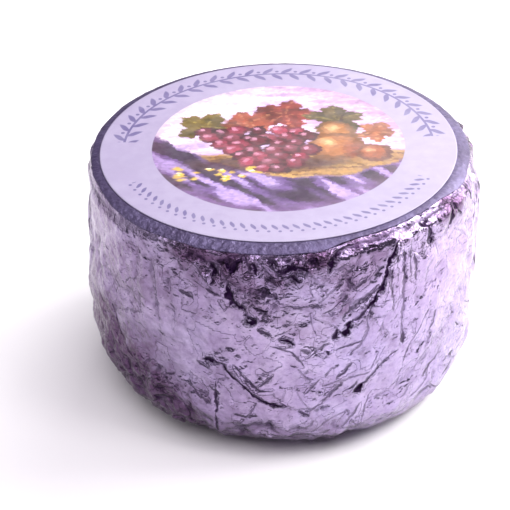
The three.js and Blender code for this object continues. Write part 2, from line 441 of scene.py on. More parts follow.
def ear_presence(ear, turn):
    """1 where an ear shows, 0 past the direction where the next fold has pulled it flat."""
    if "until" not in ear:
        return np.ones(np.shape(turn))
    return 1 - plateau(from_turn(turn, ear["until"]), -6, 5, 60, 80)


def calm_foot(turn):
    """Where the foot is little puckered: in front on the right."""
    return between(turn, 32, 84, 20)


def ear_relief(ear, turn, height):
    """One ear's smooth flap, raised round the crumpled wedge, with its soft ridges."""
    u, v = ear_place(ear, turn, height)
    reach = 1 - smooth_step(np.abs(u), 62, 72)
    smile, wedge = above_smile(u, v), inside_wedge(u, v)
    left_fade = 1 - smooth_step(v, 52, 66) * smooth_step(-u, 20, 40)
    on_flap = plateau(smile, -2, 2 * FOLD_WIDTH, 14, 40)
    in_wedge = smooth_step(wedge, -1, 2 * FOLD_WIDTH)
    pleats = bump(smile - 9, 3.0) * smooth_step(np.abs(u), 6, 18)
    crumple = 1.5 * facets(turn, height, 14, 3) - 0.6
    flap = (0.8 * on_flap + 0.4 * pleats) * left_fade
    relief = reach * (flap * (1 - in_wedge) + crumple * in_wedge)
    for points, high, width in EAR_RIDGES:
        away, share = beside_stroke(points, u, v)
        relief = relief + high * bump(away, width) * plateau(share, 0, 0.2, 0.8, 1)
    return relief


def coarse_relief(turn, height):
    """The foil's slow relief, as the solid has it: wander, slack facets, puckers at the foot,
    the ears, and slack bulges, each a dome, the root of 1 - (x/a)2 - (y/b)2, with a crisp rim.
    Beside it, a loose edge stands off on the right, and the foil is tight on the left."""
    a = np.radians(turn)
    wander = 0.7 * (0.6 * np.sin(2 * a + 0.6) + 0.4 * np.sin(3 * a - 1.1))
    slack = 0.8 * facets(turn, height, 26, 11)
    pucker = 1.3 * facets(turn, height, 17, 23) * (1 - smooth_step(height, 22, 44))
    folds = sum(ear_relief(ear, turn, height) for ear in EARS)
    for at, up, wide, tall, high in BULGES:
        across = from_turn(turn, at) * per_degree() / (wide * BULGE_SCALE)
        inside = 1 - across**2 - ((height - up) / tall) ** 2
        folds = folds + high * np.sqrt(np.maximum(inside, 0)) * (1 - 0.25 * bump(inside, 0.2))
    beyond = from_turn(turn, LOOSE_EDGE)
    loose = 1.3 * bump(beyond, 24) * plateau(height, 22, 44, 92, 101)
    flap = plateau(beyond, -7, -5.6, 4, 9) * smooth_step(height, 79, 80.5)
    loose += 0.9 * flap * (1 - smooth_step(height, 92, 98))
    tight = bump(from_turn(turn, -84), 26) * plateau(height, 50, 66, 94, 102)
    limited = RELIEF_LIMIT * np.tanh((slack + pucker + folds) / RELIEF_LIMIT)
    return wander + limited + loose - tight


def rim_smoothness(turn):
    """Where the foil rolls smoothly over the shoulder under the label: 1 smooth, 0 crumpled."""
    rolled = 0.75 * smooth_step(soft_noise(turn, 0 * turn, 30, 47), 0.35, 0.6)
    for ear in EARS:
        u, _ = ear_place(ear, turn, wrap_height() + 0 * turn)
        gathered = plateau(u, -62, -46, 2, 12) * ear_presence(ear, turn)
        rolled = np.maximum(rolled * (1 - gathered), plateau(u, 4, 14, 60, 74))
    return np.maximum(rolled, 0.9 * plateau(from_turn(turn, 0), -104, -92, -36, -28))


def crumple_mask(turn, height):
    """How crumpled the foil is, 0 smooth to 1 crushed: high under the label in each ear's wedge,
    down the wedge's left edge and at the foot, low on the flaps."""
    amount = np.full(np.shape(turn), 0.12)
    for ear in EARS:
        u, v = ear_place(ear, turn, height)
        wedge = inside_wedge(u, v)
        top = smooth_step(v, 88, 98) * plateau(u, -58, -44, 12, 26)
        left = bump(wedge - 7, 8) * smooth_step(-u, 12, 22) * smooth_step(v, 70, 78)
        right = 0.45 * smooth_step(wedge, 1, 6) * smooth_step(u, -5, 10) * smooth_step(v, 68, 82)
        inner = 0.3 * smooth_step(wedge, 0, 6) * smooth_step(v, 66, 80)
        crushed = np.maximum.reduce([top, 0.95 * left, right, inner])
        amount = np.maximum(amount, crushed * ear_presence(ear, turn))
    patchy = soft_noise(turn, height, 22, 41)
    foot = (1 - smooth_step(height, 12, 34)) * (0.4 + 0.5 * patchy) * (1 - 0.65 * calm_foot(turn))
    low_left = bump(from_turn(turn, -46), 32) * (1 - smooth_step(height, 32, 50))
    rim = smooth_step(height, 93, 104) * (0.25 + 0.6 * soft_noise(turn, height * 0 + 3, 18, 43))
    amount = np.maximum.reduce([amount, foot, 0.95 * low_left, rim]) + 0.3 * (patchy - 0.5)
    return clamp01(amount * (1 - 0.9 * rim_smoothness(turn) * smooth_step(height, 97, 102)))


def painted_shade_mask(turn, height, crush):
    """How much painted shade the foil's colour takes, 0 to 1: where the foil is crushed, most in
    the ears' wedges, under the label and low on the left, where it deepens in two steps, and also
    at the foot, in a band under the label on the right and down the left side. Two sizes of noise
    break it up."""
    shade = 0.55 * crush
    for ear in EARS:
        u, v = ear_place(ear, turn, height)
        inside = smooth_step(inside_wedge(u, v), 0, 4) * ear_presence(ear, turn)
        right = 0.6 * smooth_step(u, 2, 14) * smooth_step(v, 70, 82)
        shade = np.maximum(shade, inside * np.maximum(right, 0.22))
    # Painted shade low on the left, deepening in two steps.
    left = from_turn(turn, -56)
    level = 45 - 0.62 * (left + 0.5 * np.abs(left) - 4)
    deep = 0.8 * (1 - smooth_step(height, level - 8, level + 8))
    soft = 0.5 * (1 - smooth_step(height, level, level + 34))
    low = bump(from_turn(turn, -46), 36) * (deep + soft)
    # Painted shade at the foot, lighter in front on the right.
    pale_right = 0.6 * plateau(from_turn(turn, 60), -50, -20, 30, 60)
    foot = 0.55 * (1 - smooth_step(height, 6, 26)) * (1 - pale_right)
    # Painted shade under the label where the rim is crumpled, and in a band on the right where the
    # shoulder would catch a highlight.
    rim = 0.62 * (1 - rim_smoothness(turn)) * smooth_step(height, 99, 103)
    rim += 0.6 * between(turn, 16, 66, 12) * bump(height - 106, 2.8)
    # Painted shade down the left side, away from the key light.
    side = 0.26 * bump(from_turn(turn, -62), 52)
    shade = np.maximum.reduce([shade, low, foot, rim]) + side
    mottle = 0.6 * soft_noise(turn, height, 7, 51) + 0.4 * soft_noise(turn, height, 3, 53)
    return clamp01(shade * (0.45 + 1.1 * mottle) + 0.3 * (mottle - 0.5))


class Strokes:
    """The crease that tells most at each place of the sheet: the signed distance to it in
    millimetres and the darkness of its painted shade. Both vary evenly between points, so a
    shader can draw a crisp line from them that is finer than the mesh."""

    def __init__(self, shape):
        self.relief = np.zeros(shape)
        self.away = np.full(shape, 9.0)
        self.dark = np.zeros(shape)
        self.rank = np.zeros(shape)

    def add(self, patch, away, strength, step, dark, width):
        """A step on one side that dies away over 5 mm, beside a narrow groove."""
        raised = np.where(away * np.sign(step) > 0, 1.0, 0.0)
        slope = smooth_step(np.abs(away), 0, 1.3) * np.exp(-np.abs(away) / 5.0) * raised
        valley = bump(away, 0.5 + width)
        self.relief[patch] += strength * (abs(step) * slope - 0.45 * dark * width * valley)
        rank = strength * dark * np.exp(-np.abs(away) / 1.5)
        best = rank > self.rank[patch]
        self.rank[patch] = np.where(best, rank, self.rank[patch])
        tapered = width * (0.2 + 0.8 * strength)
        self.away[patch] = np.where(best, np.clip(away / tapered, -9, 9), self.away[patch])
        # The painted shade of the crease that tells most here.
        self.dark[patch] = np.where(best, smooth_step(strength, 0, 0.35) * dark, self.dark[patch])


def ear_creases(strokes, turn, height):
    """Draws every ear's creases. Noise sways them, less at the rim, and breaks them up."""
    for number, ear in enumerate(EARS):
        u, v = ear_place(ear, turn, height)
        sway = (2.6 if number else 0.9) * (1 - 0.8 * smooth_step(height, 100, 107))
        u = u + sway * (soft_noise(turn, height, 11, 60 + number) - 0.5) * 2
        v = v + sway * (soft_noise(turn, height, 9, 70 + number) - 0.5) * 2
        near = (np.abs(u) < EAR_REACH) * ear_presence(ear, turn)
        for line, (points, step, dark, width, broken) in enumerate(EAR_CREASES):
            away, share = beside_stroke(points, u, v)
            beat = soft_noise(turn, height, 5, 90 + line)
            kept = smooth_step(beat, 0.75 * broken - 0.25, 0.75 * broken + 0.15)
            strength = plateau(share, 0.0, 0.3, 0.7, 1.0) * kept * near
            strokes.add(WHOLE_SHEET, away, strength, step, dark, width)


def scattered_creases(strokes, turn, along, count, seed):
    """Short creases at random, each a bent line that fades towards its ends. They crowd where
    the foil is crushed, and lean as the ears' folds do."""
    spread = np.random.default_rng(seed)
    rows, columns = along.mean(axis=1), turn[0]
    made = 0
    while made < count:
        at, up = spread.uniform(0, FULL_TURN), spread.uniform(-4, 124)
        chance, side = spread.random(), spread.random()
        lean_noise, length_share = spread.normal(0, 0.5), spread.random()
        step, width_share, curve = spread.normal(0, 0.22), spread.random(), spread.normal(0, 0.02)
        shadow = spread.random()
        height = max(up - SHEET_BELOW_SIDE, 0.0)
        crush = float(crumple_mask(np.array([at]), np.array([height]))[0])
        if chance > 0.06 + 0.95 * crush:
            continue
        made += 1
        nearest = min(EARS, key=lambda ear: abs(from_turn(at, ear["at"])))
        u = float(from_turn(at, nearest["at"])) * nearest["lean"]
        lean = (math.radians(56) if u > 0 else math.radians(-40)) * nearest["lean"] + lean_noise
        if side < 0.25 or height < 14:
            lean += math.pi / 2
        length = (3 + 12 * length_share**3) * (1.25 - 0.5 * crush)
        width = (0.28 + 0.34 * width_share) * (1 + 0.6 * crush)
        # How dark the crease's painted shade is.
        dark = 0.15 + 0.85 * shadow**1.5 * (0.5 + 0.5 * crush)
        near = np.nonzero(np.abs(from_turn(columns, at)) * per_degree() < length + 5)[0]
        level = np.nonzero(np.abs(rows - up) < length + 8)[0]
        if not near.size or not level.size:
            continue
        patch = np.ix_(level, near)
        x = from_turn(turn[patch], at) * per_degree()
        y = along[patch] - up
        run = x * math.cos(lean) + y * math.sin(lean)
        away = y * math.cos(lean) - x * math.sin(lean) - curve * run**2
        fade = clamp01(1 - (run / length) ** 2)
        strokes.add(patch, away, fade, step * (1 + 0.8 * crush), dark, width)


def blurred(grid, reach):
    """Mean of each point's neighbours on a grid that closes along its columns."""
    out = grid
    for axis in (0, 1):
        total = np.zeros(out.shape)
        for shift in range(-reach, reach + 1):
            if axis == 1:
                total += np.roll(out, shift, axis=1)
            else:
                rows = np.clip(np.arange(out.shape[0]) + shift, 0, out.shape[0] - 1)
                total += out[rows]
        out = total / (2 * reach + 1)
    return out


def foil_grid(columns):
    """The plain outline as rows of points from the base's middle to the top: radius, height,
    outward normal and distance along the sheet, each an array of rows by columns. Columns
    stand closer in front: turn = even - 0.4 sin(even - 8)."""
    even = np.arange(columns) * FULL_TURN / columns
    turn = even - math.degrees(0.4) * np.sin(np.radians(even - 8))
    foot = foot_radius(turn)
    shoulder = wheel().shoulder / MM
    flat, side_top = wheel_radius() - foot, wrap_height() - shoulder
    rows = []

    def add_row(*values):
        rows.append([value + 0 * foot for value in values])

    for i in range(1, BASE_ROWS):
        share = (i / BASE_ROWS) ** 0.8
        add_row(share * flat, 0, 0, -1, (share - 1) * flat)
    for i in range(FOOT_ROWS + 1):
        a = math.pi / 2 * i / FOOT_ROWS
        s, c = math.sin(a), math.cos(a)
        add_row(flat + foot * s, foot - foot * c, s, -c, foot * a)
    for i in range(1, SIDE_ROWS):
        z = foot + (side_top - foot) * i / SIDE_ROWS
        add_row(wheel_radius(), z, 1, 0, foot * math.pi / 2 + z - foot)
    for i in range(SHOULDER_ROWS + 1):
        a = math.pi / 2 * i / SHOULDER_ROWS
        s, c = math.sin(a), math.cos(a)
        along = foot * math.pi / 2 + side_top - foot + shoulder * a
        add_row(wheel_radius() - shoulder + shoulder * c, side_top + shoulder * s, c, s, along)
    radius, height, out, up, along = (np.array([row[k] for row in rows]) for k in range(5))
    return np.broadcast_to(turn, radius.shape), radius, height, out, up, along


def wrap_relief(turn, height, along):
    """All of the foil's relief outwards, its creases, where fine relief shows, how crushed the
    foil is and what lies flat on the base."""
    share, shoulder = clamp01(height / wrap_height()), wheel().shoulder / MM
    edge = wrap_height() - shoulder * (1 - np.cos(np.radians(border_reach(turn))))
    bulge = wheel().bulge / MM * 4 * share * (1 - share)
    coarse = bulge + coarse_relief(turn, height) * foil().folds
    crush = crumple_mask(turn, height)
    fine = sum(
        crumpled(turn, along, size, calm + wild * crush, seed) * foil().crumple
        for size, calm, wild, seed in FINE_CRUMPLES
    )
    gather = crumpled(turn, along, 6.0, 16.0, 171, stretch=5.0) * smooth_step(along, -6, 8)
    fine += gather * (1 - smooth_step(height, 12, 34)) * (1 - 0.7 * calm_foot(turn))
    strokes = Strokes(np.shape(height))
    over_shoulder = np.maximum(height, along - foot_radius(turn) * (math.pi / 2 - 1))
    ear_creases(strokes, turn, over_shoulder)
    scattered_creases(strokes, turn, along, SCATTERED_CREASES, seed=5)
    pulled = between(turn, -112, -42, 16) * smooth_step(height, 76, 92)
    fine, strokes.relief = fine * (1 - 0.8 * pulled), strokes.relief * (1 - 0.8 * pulled)
    # Less painted shade in the creases where the foil is pulled tight on the left.
    strokes.dark *= 1 - 0.7 * pulled
    lip = 0.3 * bump(height - 104.2, 1.6) * rim_smoothness(turn) * (1 - pulled)
    lip += 0.7 * bump(height - 106.8, 2.3) * between(turn, 20, 58, 16)
    drawn_in = 0.7 * smooth_step(height, 30, 70) + 1.2 * smooth_step(height, 74, 98)
    drawn_in *= between(turn, -112, -58, 18) * (1 - smooth_step(height, 107, 109.5))
    held = plateau(height, 0.4, 7, edge - 5, edge - 1.5)
    held_fine = smooth_step(height, 0.2, 4) * (1 - 0.8 * smooth_step(height, edge - 3, edge + 1))
    relief = held * coarse + held_fine * (fine + strokes.relief * foil().folds) + lip - drawn_in
    under_border = 0.05 + 3.0 * (1 - smooth_step(height, edge - 4.5, edge - 0.3))
    on_base = 1 - smooth_step(height, 0.0, 0.4)
    return np.minimum(relief, under_border), strokes, held_fine, crush, on_base


# Meshes from arrays


def mesh_object(name, points, faces):
    """A smooth mesh object from an array of points in millimetres and lists of face corners."""
    mesh = bpy.data.meshes.new(name)
    corners = np.concatenate([np.asarray(f, dtype=np.int32).ravel() for f in faces])
    sizes = np.concatenate([np.full(len(f), np.shape(f)[1], dtype=np.int32) for f in faces])
    starts = np.concatenate([[0], np.cumsum(sizes)[:-1]]).astype(np.int32)
    mesh.vertices.add(len(points))
    mesh.vertices.foreach_set("co", (np.asarray(points, dtype=np.float32) * MM).ravel())
    mesh.loops.add(len(corners))
    mesh.loops.foreach_set("vertex_index", corners)
    mesh.polygons.add(len(sizes))
    mesh.polygons.foreach_set("loop_start", starts)
    mesh.polygons.foreach_set("loop_total", sizes)
    mesh.update(calc_edges=True)
    mesh.validate()
    mesh.shade_smooth()
    made = bpy.data.objects.new(name, mesh)
    bpy.context.scene.collection.objects.link(made)
    return made


def ring_faces(rows, columns, first=0, flip=False):
    """Quads between rows of points that each close on themselves."""
    i, j = np.meshgrid(np.arange(rows - 1), np.arange(columns), indexing="ij")
    k = np.mod(j + 1, columns)
    low, high = i * columns, (i + 1) * columns
    quads = np.stack([low + j, low + k, high + k, high + j], axis=-1)
    quads = quads.reshape(-1, 4) + first
    return quads[:, ::-1] if flip else quads


def strip_faces(first, second, columns):
    """Quads between two closed rows of points."""
    j = np.arange(columns)
    k = np.mod(j + 1, columns)
    return np.stack([first + j, second + j, second + k, first + k], axis=-1)


def fan_faces(row_start, columns, pole, flip=False):
    """Triangles from a closed row of points to one pole."""
    j = np.arange(columns)
    k = np.mod(j + 1, columns)
    tris = np.stack([row_start + j, row_start + k, np.full(columns, pole)], axis=-1)
    return tris[:, ::-1] if flip else tris


def round_point(turn, radius, height):
    """Places at an angle round the wheel, a distance from its axis and a height."""
    a = np.radians(turn)
    places = np.stack([radius * np.sin(a), -radius * np.cos(a), height + 0 * a], axis=-1)
    return places.reshape(-1, 3)


def point_values(made, name, values, kind="FLOAT"):
    """Stores one value, or one colour, for each point of a mesh."""
    layer = made.data.attributes.new(name, kind, "POINT")
    field = "color" if kind.endswith("COLOR") else "value"
    layer.data.foreach_set(field, np.asarray(values, dtype=np.float32).ravel())


# Materials


class Value:
    """A shader socket that takes arithmetic: each sign adds a Math node to its tree."""

    def __init__(self, socket):
        self.socket = socket

    def __add__(self, other):
        return maths("ADD", self, other)

    def __sub__(self, other):
        return maths("SUBTRACT", self, other)

    def __rsub__(self, other):
        return maths("SUBTRACT", other, self)

    def __mul__(self, other):
        return maths("MULTIPLY", self, other)

    def __truediv__(self, other):
        return maths("DIVIDE", self, other)

    def __pow__(self, other):
        return maths("POWER", self, other)

    def __abs__(self):
        return maths("ABSOLUTE", self)

    def tree(self):
        return self.socket.id_data

    def clamped(self):
        """The same value, kept from 0 to 1 by the Math node that makes it."""
        self.socket.node.use_clamp = True
        return self


def feed(socket, value):
    """Sets an input to a number or a colour, or links it to a value."""
    if isinstance(value, Value):
        socket.id_data.links.new(value.socket, socket)
    elif isinstance(value, tuple):
        socket.default_value = (*value, 1.0)
    else:
        socket.default_value = value


def maths(operation, *values):
    """A Math node on numbers and values, and its result."""
    tree = next(value.tree() for value in values if isinstance(value, Value))
    node = tree.nodes.new("ShaderNodeMath")
    node.operation = operation
    for socket, value in zip(node.inputs, values):
        feed(socket, value)
    return Value(node.outputs[0])


def shader_node(tree, kind, **settings):
    """Adds a node. Settings name its properties, or its inputs with _ for each space."""
    node = tree.nodes.new(kind)
    for key, value in settings.items():
        if hasattr(node, key):
            setattr(node, key, value)
        else:
            feed(node.inputs[key.replace("_", " ")], value)
    return node


def noise(place, **settings):
    node = shader_node(place.tree(), "ShaderNodeTexNoise", Vector=place, **settings)
    return Value(node.outputs["Fac"])


def cells(place, feature, scale):
    """Distance to the nearest point of a scattering, or to the nearest edge of its cells."""
    node = shader_node(
        place.tree(), "ShaderNodeTexVoronoi", feature=feature, Vector=place, Scale=scale
    )
    return Value(node.outputs["Distance"])


def blended(share, first, second):
    """A colour Mix node on values and colours, and its result."""
    node = shader_node(share.tree(), "ShaderNodeMix", data_type="RGBA")
    for slot, value in ((0, share), (6, first), (7, second)):
        feed(node.inputs[slot], value)
    return Value(node.outputs[2])


def toned(colour, *gains):
    """A colour times one gain, or one for each channel, up to 1."""
    return tuple(min(1.0, c * k) for c, k in zip(colour, gains * (3 // len(gains))))


def flat_place(place):
    """A place's x and y, and its distance from the wheel's axis."""
    split = shader_node(place.tree(), "ShaderNodeSeparateXYZ", Vector=place)
    x, y = Value(split.outputs[0]), Value(split.outputs[1])
    return x, y, maths("SQRT", x * x + y * y)


def grouped(make, place, **values):
    """Places a node group, made at its first use, and gives its outputs. The make function
    takes the group's inputs and gives a dictionary of its outputs; the values are what each
    of its inputs other than the place is set or linked to."""
    tree = bpy.data.node_groups.get(make.__name__)
    if tree is None:
        tree = bpy.data.node_groups.new(make.__name__, "ShaderNodeTree")
        tree.interface.new_socket("Vector", in_out="INPUT", socket_type="NodeSocketVector")
        for key in values:
            key = key.replace("_", " ")
            tree.interface.new_socket(key, in_out="INPUT", socket_type="NodeSocketFloat")
        inside = tree.nodes.new("NodeGroupInput")
        given = {key: Value(inside.outputs[key.replace("_", " ")]) for key in ("Vector", *values)}
        made = make(**given)
        for key in made:
            tree.interface.new_socket(key, in_out="OUTPUT", socket_type="NodeSocketFloat")
        outside = tree.nodes.new("NodeGroupOutput")
        for key, value in made.items():
            feed(outside.inputs[key], value)
    node = shader_node(place.tree(), "ShaderNodeGroup", node_tree=tree, Vector=place, **values)
    return {socket.name: Value(socket) for socket in node.outputs}


def crumpled_sheet(Vector, Scale, Fine_share, Line_width, Kept):
    """Height: the squared distance to one scattering of points less that to another, at two
    scales, which is flat facets with sharp creases, as the mesh's own relief. Creases: thin
    lines where the cells of a third scattering meet, kept where a noise is high."""
    heights = []
    for ratio, offset in ((1.0, 0.0), (2.3, 3.7)):
        pair = []
        for shift in (0.0, 5.31):
            moved = shader_node(
                Vector.tree(), "ShaderNodeVectorMath", operation="ADD", Vector=Vector
            )
            moved.inputs[1].default_value = (offset + shift, shift * 0.7, -shift)
            distance = cells(Value(moved.outputs[0]), "F1", Scale * ratio)
            pair.append(distance * distance)
        heights.append(pair[0] - pair[1])
    thin = (1.0 - cells(Vector, "DISTANCE_TO_EDGE", Scale * 0.6) / Line_width).clamped()
    over = noise(Vector, Detail=2.0, Scale=Scale * 0.5) - (1.0 - Kept)
    return {
        "Height": heights[0] + heights[1] * Fine_share,
        "Creases": thin * (over * 7.0).clamped(),
    }


def handling_wear(Vector, Patch_scale, Amount):
    """Soft patches broken up by a finer noise, 0 untouched to 1 rubbed."""
    coarse, fine = (
        noise(Vector, Detail=3.0, Roughness=0.55, Scale=Patch_scale * ratio)
        for ratio in (1.0, 9.0)
    )
    return {"Mask": ((coarse * fine - 0.18) * 6.0).clamped() * Amount}


def ring_of_marks(Vector, Radius, Pitch, Phase, Width, Height, Power, Lean, Span, Upwards):
    """Each mark is where (|t| / width)^p + (|d| / height)^p is under 1, with t the distance
    along the ring from the mark's middle, slanted by lean times d, and d the distance across
    it; p of 1 is a lozenge and 2 an ellipse. Marks are kept within a span of angle each side
    of the middle."""
    x, y, radius = flat_place(Vector)
    angle = maths("ARCTAN2", x, y * Upwards)
    number = angle / Pitch + Phase
    along = (number - maths("ROUND", number)) * Pitch * Radius
    outwards = radius - Radius
    across = (abs(along + outwards * Lean) / Width) ** Power
    upright = (abs(outwards) / Height) ** Power
    inner = ((1.0 - (across + upright)) * 3.0).clamped()
    return {"Mask": inner * maths("LESS_THAN", abs(angle), Span)}


def new_material(name):
    """A node material, its Principled shader, and the object's own coordinates."""
    material = bpy.data.materials.new(name)
    material.use_nodes = True
    nodes = material.node_tree.nodes
    place = Value(nodes.new("ShaderNodeTexCoord").outputs["Object"])
    return material, nodes["Principled BSDF"], place


def dress(shader, height=None, distance=1.0, **looks):
    """Feeds the shader's inputs, with _ for each space, and a height in metres to its normal."""
    for key, value in looks.items():
        feed(shader.inputs[key.replace("_", " ")], value)
    if height is not None:
        raised = shader_node(shader.id_data, "ShaderNodeBump", Distance=distance, Height=height)
        feed(shader.inputs["Normal"], Value(raised.outputs["Normal"]))


def stored(place, name, output="Fac"):
    """A number, or with output Color a colour, that the mesh stores for each point."""
    node = shader_node(place.tree(), "ShaderNodeAttribute", attribute_name=name)
    return Value(node.outputs[output])


def foil_material():
    """Lavender lacquered foil: mirror-like facets, with painted shade in the creases, hollows and
    crumples, rubbed here and there. The mesh stores the signed distance d to a crease, in half
    widths, and how dark its painted shade is. Frayed by noise, d is drawn here: a painted dark
    core where |d| is small, in a groove of depth 1 - 0.6 |d|, beside a raised lip at a d of 2.1."""
    material, shader, place = new_material("foil")
    crush = stored(place, "crush")
    grain = noise(place, Scale=520.0, Detail=3.0, Roughness=0.6)
    kept = crush * 0.18 + 0.41
    sheet = grouped(
        crumpled_sheet, place, Scale=300.0, Fine_share=0.35, Line_width=0.045, Kept=kept
    )
    frayed = (grain - 0.5) * 1.8 + sheet["Height"] * 1.35
    side = stored(place, "crease_away") + frayed
    away, depth = abs(side), stored(place, "painted_crease_shade")
    reach = noise(place, Scale=230.0, Detail=2.0) * 2.4 - 0.1
    core = ((reach - away) * 2.0).clamped() * depth
    groove = (1.0 - away * 0.6).clamped() * depth
    lip = (1.0 - abs(side - 2.1) * 0.7).clamped() * depth
    wear = grouped(handling_wear, place, Patch_scale=22.0, Amount=0.8)["Mask"]
    tone = noise(place, Scale=16.0, Detail=2.0)
    warm, cool = toned(foil().colour, 1.06, 0.95, 0.92), toned(foil().colour, 0.95, 1.02, 1.06)
    body = blended(wear * 0.25, blended(tone, warm, cool), RUBBED_FOIL)
    # Painted shade from the stored mask, with a speckle of the grain, in the crumple colour.
    speckle_and_painted_shade = ((grain - 0.42) * 2.4).clamped()
    speckle_and_painted_shade = (stored(place, "shade") + speckle_and_painted_shade * 0.35).clamped()
    body = blended(speckle_and_painted_shade, body, tuple(foil().painted_shade_colour))
    # Painted shade in the creases: their dark cores, the thin crease lines and the hollows.
    crease_and_hollow_shade = maths("MAXIMUM", core, sheet["Creases"] * 0.3)
    crease_and_hollow_shade = maths("MAXIMUM", crease_and_hollow_shade, stored(place, "painted_hollow_shade") * 0.8)
    facet_depth = crush * 0.0004 + 0.0003
    raised = sheet["Height"] * facet_depth + lip * 0.0004 - grain * 0.0003
    dress(
        shader,
        Base_Color=blended(crease_and_hollow_shade, body, tuple(foil().crease_shadow_colour)),
        Metallic=1.0,
        Roughness=tone * 0.14 + 0.15 + crease_and_hollow_shade * 0.2,
        height=raised - (groove * 0.0005 + sheet["Creases"] * 0.00012),
    )
    return material


def border_material():
    """The label's dark band over the shoulder: slate-violet and part metallic, crimped and lightly
    scuffed.
    """
    material, shader, place = new_material("label_border")
    wear = grouped(handling_wear, place, Patch_scale=45.0, Amount=0.7)["Mask"]
    tone = noise(place, Scale=60.0, Detail=3.0)
    ink = tuple(label().border)
    body = blended(tone, toned(ink, 0.8), toned(ink, 1.3))
    sheet = grouped(
        crumpled_sheet, place, Scale=520.0, Fine_share=0.4, Line_width=0.05, Kept=0.4
    )
    dress(
        shader,
        Base_Color=blended(wear * 0.3, body, SCUFFED_INK),
        Metallic=0.45,
        Roughness=tone * 0.25 + 0.3,
        height=sheet["Height"] * (stored(place, "crush") + 0.15),
        distance=0.00035,
    )
    return material


def face_material():
    """Coated label paper: pale face, a ring of printed ornaments, and the round picture whose
    colours are stored on the mesh."""
    material, shader, place = new_material("label_face")
    radius = flat_place(place)[2]
    mottle = noise(place, Scale=90.0, Detail=4.0, Roughness=0.6)
    paper = tuple(label().paper)
    marks = None
    for row in RING_MARKS:
        mask = grouped(ring_of_marks, place, **dict(zip(MARK_SIZES, row)))["Mask"]
        marks = mask if marks is None else maths("MAXIMUM", marks, mask)
    faded = (mottle * 0.5 + 0.55).clamped()
    pale = blended(mottle, toned(paper, 0.955), toned(paper, 1.04))
    ring = blended(marks * faded, pale, tuple(label().ink))
    edge = ((label().picture_radius - radius) * 2500.0).clamped()
    whole = blended(edge, ring, stored(place, "print", "Color"))
    wear = grouped(handling_wear, place, Patch_scale=18.0, Amount=0.25)["Mask"]
    dress(
        shader,
        Base_Color=blended(wear * 0.2, whole, RUBBED_PAPER),
        Roughness=mottle * 0.14 + 0.36,
        Coat_Weight=0.12,
        Coat_Roughness=0.25,
        height=noise(place, Scale=900.0, Detail=3.0),
        distance=0.00002,
    )
    return material


# The round print: fields of colour and simple shapes


def flat_noise(x, y, size, seed):
    """Smooth noise from 0 to 1 on the flat."""
    x, y = x / size, y / size
    i, j = np.floor(x), np.floor(y)
    a, b = x - i, y - j
    a, b = a * a * (3 - 2 * a), b * b * (3 - 2 * b)
    low = scatter(i, j, seed) * (1 - a) + scatter(i + 1, j, seed) * a
    high = scatter(i, j + 1, seed) * (1 - a) + scatter(i + 1, j + 1, seed) * a
    return low * (1 - b) + high * b


def dabs(x, y, wide, tall, seed):
    """Moves each place most of the way to the middle of its brush dab, the nearest point of a
    jittered grid of cells that are wide by tall. Also a random number for the dab."""
    cx, cy = x / wide, y / tall
    i, j = np.floor(cx), np.floor(cy)
    least = np.full(x.shape, np.inf)
    bx, by, own = x.copy(), y.copy(), x * 0
    for step in range(9):
        ii, jj = i + step // 3 - 1, j + step % 3 - 1
        px, py = ii + scatter(ii, jj, seed), jj + scatter(ii, jj, seed + 1)
        away = (px - cx) ** 2 + (py - cy) ** 2
        closer = away < least
        least = np.where(closer, away, least)
        bx, by = np.where(closer, px * wide, bx), np.where(closer, py * tall, by)
        own = np.where(closer, scatter(ii, jj, seed + 2), own)
    return x + 0.75 * (bx - x), y + 0.75 * (by - y), own


def srgb(*values):
    """A colour given as it looks, 0 to 255, in linear light."""
    c = np.asarray(values, dtype=float) / 255
    return np.where(c <= 0.04045, c / 12.92, ((c + 0.055) / 1.055) ** 2.4)


